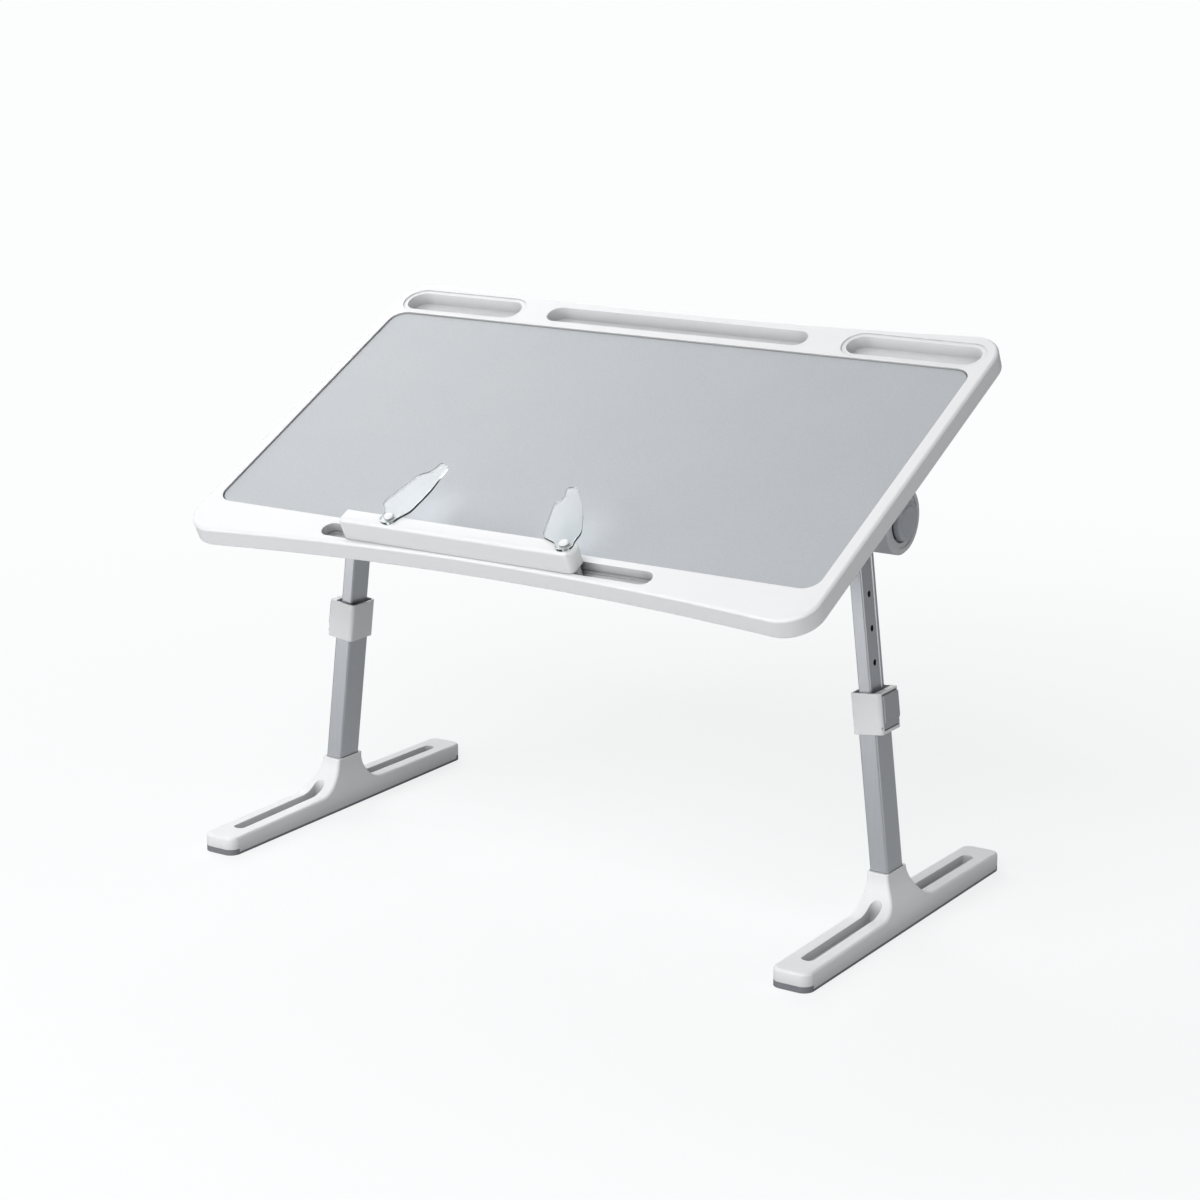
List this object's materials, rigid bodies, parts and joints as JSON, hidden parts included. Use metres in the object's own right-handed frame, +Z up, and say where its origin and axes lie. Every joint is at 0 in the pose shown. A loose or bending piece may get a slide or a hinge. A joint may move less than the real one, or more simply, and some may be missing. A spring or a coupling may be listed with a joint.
{
  "type": "folding bed table",
  "caption": "Folding bed table with a tilting top, telescopic T-foot legs, pen tray, tablet and phone slots, and a sliding book stop with page clips.",
  "frame": {"origin": "bottom centre of the table's box, on the floor between the feet", "axes": "+Z up, +X to the user's right along the hinge axis, +Y away from the user"},
  "size_m": [0.602, 0.3537, 0.4591],
  "materials": {
    "white_abs": "satin moulded ABS",
    "foot_abs": "finely textured ABS",
    "grey_skin": "fine-grained coated skin",
    "board": "fibreboard",
    "tube_aluminium": "satin anodised",
    "steel": "zinc-plated",
    "housing_grey": "satin moulded ABS",
    "button_grey": "satin moulded ABS",
    "latch_grey": "satin moulded ABS",
    "clear_plastic": "clear moulded plastic",
    "nylon": "natural nylon",
    "rubber": "soft rubber"
  },
  "bodies": {
    "top": {"top_frame": "white_abs", "panel_board": "board", "panel_skin": "grey_skin", "underside_cover": "white_abs", "cover_screws": "steel", "hinge_housing_left": "housing_grey", "hinge_screws_left": "steel", "hinge_housing_right": "housing_grey", "hinge_screws_right": "steel"},
    "stop": {"book_stop": "white_abs", "clip_rivet_left": "white_abs", "clip_rivet_right": "white_abs"},
    "clip_left": {"page_clip_left": "clear_plastic"},
    "clip_right": {"page_clip_right": "clear_plastic"},
    "button_left": {"lock_button_left": "button_grey", "button_spring_left": "steel"},
    "hub_left": {"tilt_hub_left": "nylon", "lock_gear_left": "steel", "tilt_bolt_left": "steel", "tilt_nut_left": "steel", "fold_pin_left": "steel"},
    "upper_leg_left": {"leg_knuckle_left": "nylon", "upper_tube_left": "tube_aluminium", "tube_guide_left": "nylon"},
    "lower_leg_left": {"lower_tube_left": "tube_aluminium", "tube_plug_left": "nylon", "collar_left": "white_abs", "latch_pin_left": "steel", "foot_left": "foot_abs", "foot_screw_left": "steel", "foot_sole_left": "rubber"},
    "latch_left": {"collar_latch_left": "latch_grey"},
    "button_right": {"lock_button_right": "button_grey", "button_spring_right": "steel"},
    "hub_right": {"tilt_hub_right": "nylon", "lock_gear_right": "steel", "tilt_bolt_right": "steel", "tilt_nut_right": "steel", "fold_pin_right": "steel"},
    "upper_leg_right": {"leg_knuckle_right": "nylon", "upper_tube_right": "tube_aluminium", "tube_guide_right": "nylon"},
    "lower_leg_right": {"lower_tube_right": "tube_aluminium", "tube_plug_right": "nylon", "collar_right": "white_abs", "latch_pin_right": "steel", "foot_right": "foot_abs", "foot_screw_right": "steel", "foot_sole_right": "rubber"},
    "latch_right": {"collar_latch_right": "latch_grey"}
  },
  "joints": [
    {"name": "tilt_left", "type": "hinge", "parent": "top", "child": "hub_left", "pos_m": [-0.2615, 0.00897, 0.3358], "axis": [1, 0, 0], "range_deg": [-9.6, 26.39]},
    {"name": "fold_left", "type": "hinge", "parent": "hub_left", "child": "upper_leg_left", "pos_m": [-0.2438, 0.00897, 0.3358], "axis": [0, 1, 0], "range_deg": [-70, 0]},
    {"name": "height_left", "type": "slide", "parent": "upper_leg_left", "child": "lower_leg_left", "axis": [0.1186, 0, 0.9929], "range_m": [0, 0.1116]},
    {"name": "latch_left", "type": "hinge", "parent": "lower_leg_left", "child": "latch_left", "pos_m": [-0.27773, 0.00897, 0.16804], "axis": [0, -1, 0], "range_deg": [0, 75]},
    {"name": "lock_button_left", "type": "slide", "parent": "top", "child": "button_left", "axis": [1, 0, 0], "range_m": [0, 0.004], "stiffness_N_per_m": 700, "springref_m": -0.004, "deforming": ["button_spring_left"]},
    {"name": "tilt_right", "type": "hinge", "parent": "top", "child": "hub_right", "pos_m": [0.2615, 0.00897, 0.3358], "axis": [1, 0, 0], "range_deg": [-9.6, 26.39]},
    {"name": "fold_right", "type": "hinge", "parent": "hub_right", "child": "upper_leg_right", "pos_m": [0.2438, 0.00897, 0.3358], "axis": [0, 1, 0], "range_deg": [0, 70]},
    {"name": "height_right", "type": "slide", "parent": "upper_leg_right", "child": "lower_leg_right", "axis": [-0.1186, 0, 0.9929], "range_m": [0, 0.1116]},
    {"name": "latch_right", "type": "hinge", "parent": "lower_leg_right", "child": "latch_right", "pos_m": [0.27773, 0.00897, 0.16804], "axis": [0, 1, 0], "range_deg": [0, 75]},
    {"name": "lock_button_right", "type": "slide", "parent": "top", "child": "button_right", "axis": [-1, 0, 0], "range_m": [0, 0.004], "stiffness_N_per_m": 700, "springref_m": -0.004, "deforming": ["button_spring_right"]},
    {"name": "stop_slide", "type": "slide", "parent": "top", "child": "stop", "axis": [1, 0, 0], "range_m": [-0.0279, 0.0665]},
    {"name": "clip_left", "type": "hinge", "parent": "stop", "child": "clip_left", "pos_m": [-0.087, -0.16385, 0.323], "axis": [0, -0.4445, 0.8958], "range_deg": [-85, 95]},
    {"name": "clip_right", "type": "hinge", "parent": "stop", "child": "clip_right", "pos_m": [0.082, -0.16385, 0.323], "axis": [0, -0.4445, 0.8958], "range_deg": [-110, 70]}
  ],
  "couplings": [
    {"joint": "tilt_right", "follows": "tilt_left", "ratio": 1}
  ]
}
